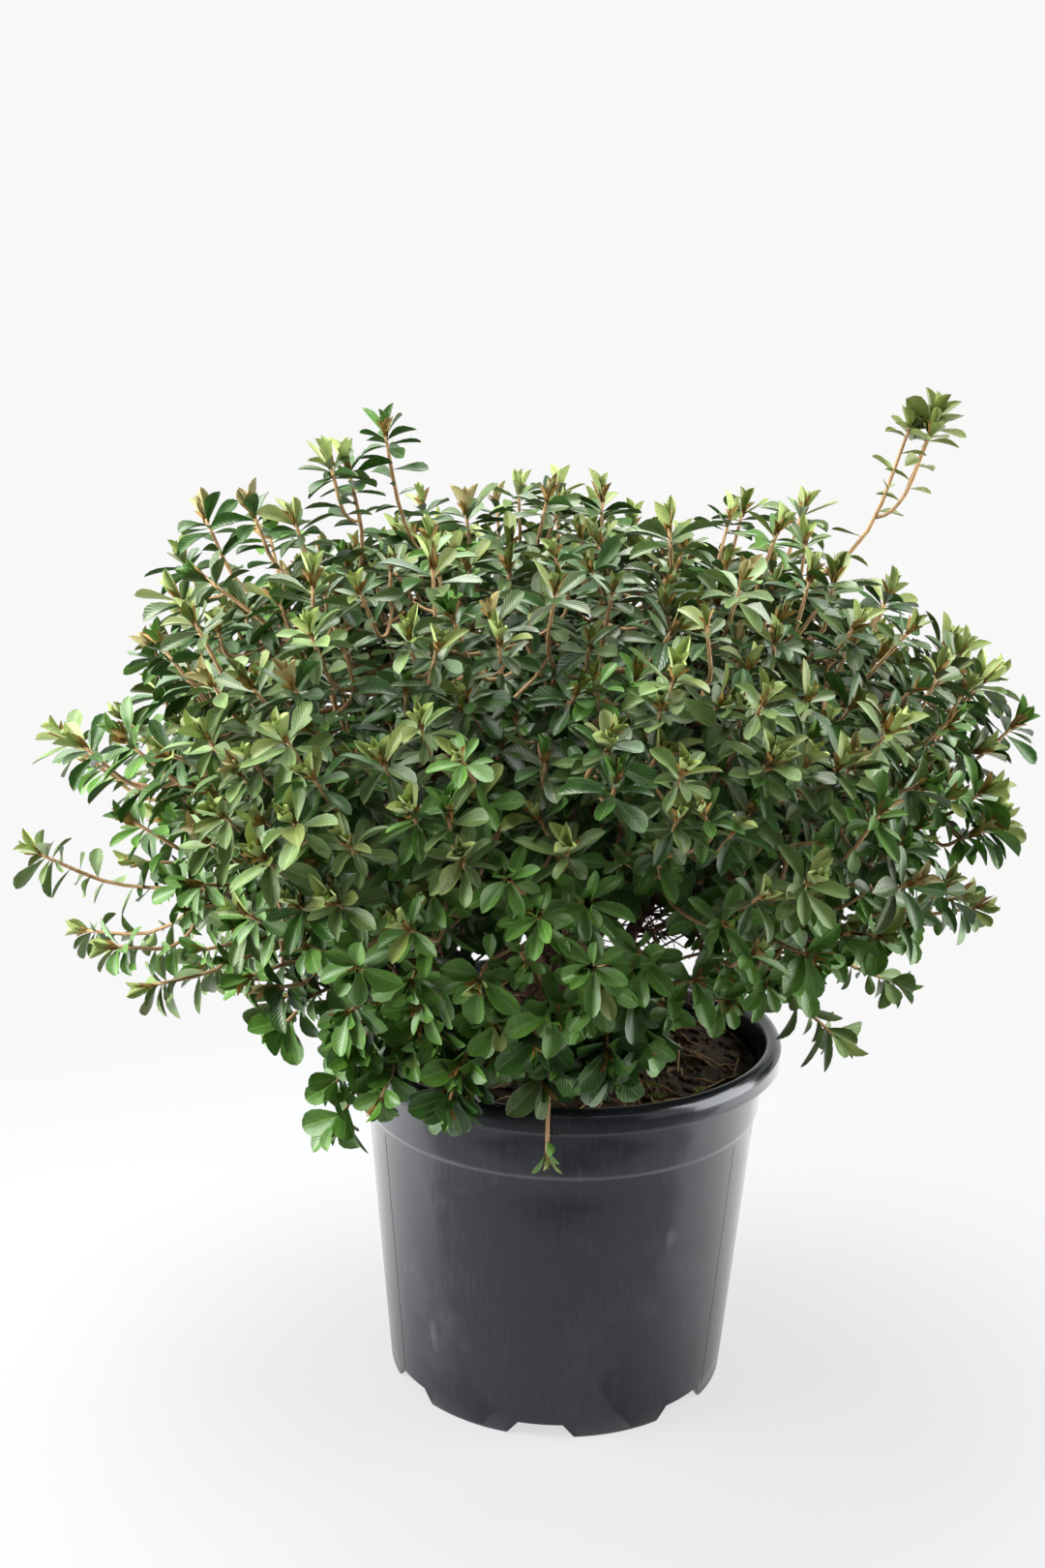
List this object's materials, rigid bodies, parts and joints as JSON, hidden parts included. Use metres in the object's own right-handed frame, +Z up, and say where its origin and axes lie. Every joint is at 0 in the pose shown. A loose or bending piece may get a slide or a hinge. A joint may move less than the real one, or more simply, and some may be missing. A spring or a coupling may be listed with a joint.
{
  "type": "azalea shrub in nursery pot",
  "caption": "Evergreen azalea shrub with a broad, dense crown of small oval leaves on many thin boughs from a short stem, growing in a round black plastic nursery pot.",
  "frame": {"origin": "middle of the flat disc under the pot, on the ground", "axes": "+Z up; -Y is the shrub's front, the side the picture shows; +X is to the right from there"},
  "size_m": [0.8345, 0.6498, 0.8244],
  "materials": {
    "pot": "black moulded plastic with a soft satin sheen",
    "compost": "dark peat with bits of bark, rough",
    "bark": "thin red-brown bark, matt",
    "foliage": "leathery green leaves with a low sheen"
  },
  "bodies": {
    "root": {"bough_shoulder_1": "bark", "bough_shoulder_2": "bark", "bough_shoulder_3": "bark", "bough_shoulder_4": "bark", "bough_shoulder_5": "bark", "bough_skirt_1": "bark", "bough_skirt_2": "bark", "bough_skirt_3": "bark", "bough_skirt_4": "bark", "bough_skirt_5": "bark", "bough_skirt_6": "bark", "bough_skirt_7": "bark", "bough_top_1": "bark", "bough_top_2": "bark", "bough_top_3": "bark", "compost": "compost", "foliage_shoulder_1": "foliage", "foliage_shoulder_2": "foliage", "foliage_shoulder_3": "foliage", "foliage_shoulder_4": "foliage", "foliage_shoulder_5": "foliage", "foliage_skirt_1": "foliage", "foliage_skirt_2": "foliage", "foliage_skirt_3": "foliage", "foliage_skirt_4": "foliage", "foliage_skirt_5": "foliage", "foliage_skirt_6": "foliage", "foliage_skirt_7": "foliage", "foliage_top_1": "foliage", "foliage_top_2": "foliage", "foliage_top_3": "foliage", "pot": "pot", "trunk": "bark"}
  },
  "joints": []
}
